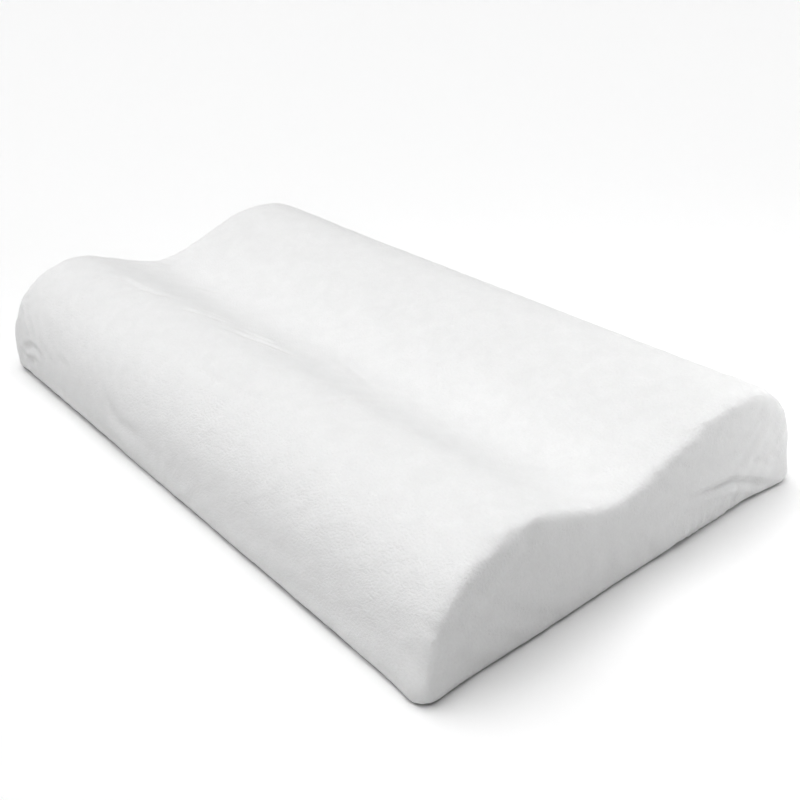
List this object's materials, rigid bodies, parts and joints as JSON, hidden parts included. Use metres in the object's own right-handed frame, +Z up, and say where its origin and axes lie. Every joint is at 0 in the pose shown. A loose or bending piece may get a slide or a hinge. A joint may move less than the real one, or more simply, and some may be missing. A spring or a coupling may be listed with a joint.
{
  "type": "bed pillow",
  "caption": "Contour bed pillow: moulded foam core with a low lobe, neck valley and high lobe, in a jersey liner and a zipped velour cover.",
  "frame": {"origin": "middle of the flat underside, on the surface the pillow lies on", "axes": "+X along the pillow's length, -Y towards the low lobe, +Y towards the high lobe and the zip, +Z up"},
  "size_m": [0.5007, 0.3041, 0.079],
  "materials": {
    "velour": "off-white polyester velour with a short nap, matt with a soft sheen",
    "jersey": "thin white cotton jersey, matt",
    "foam": "moulded viscoelastic foam, pale cream, matt, closed skin with fine pores",
    "zip_tape": "white woven polyester tape",
    "nylon": "white nylon coil, satin",
    "nickel": "satin nickel plate on cast zinc",
    "satin": "white satin ribbon, blank"
  },
  "bodies": {
    "pillow": {"foam_core": "foam", "liner_upper": "jersey", "liner_lower": "jersey", "cover_top_panel": "velour", "cover_bottom_panel": "velour", "cover_left_end_panel": "velour", "cover_right_end_panel": "velour", "care_label": "satin", "zip_tape_upper": "zip_tape", "zip_tape_lower": "zip_tape", "zip_coil_upper": "nylon", "zip_coil_lower": "nylon", "zip_top_stop_upper": "nickel", "zip_top_stop_lower": "nickel", "zip_bottom_stop": "nickel", "zip_garage_left": "zip_tape", "zip_garage_right": "zip_tape"},
    "slider": {"zip_slider_body": "nickel"},
    "pull_tab": {"zip_pull_tab": "nickel"}
  },
  "joints": [
    {"name": "zip_slide", "type": "slide", "parent": "pillow", "child": "slider", "axis": [-1, 0, 0], "range_m": [0, 0.4026]},
    {"name": "pull_tab_hinge", "type": "hinge", "parent": "slider", "child": "pull_tab", "pos_m": [0.2022, 0.1523, 0.016], "axis": [0, 0, -1], "range_deg": [0, 180]}
  ]
}
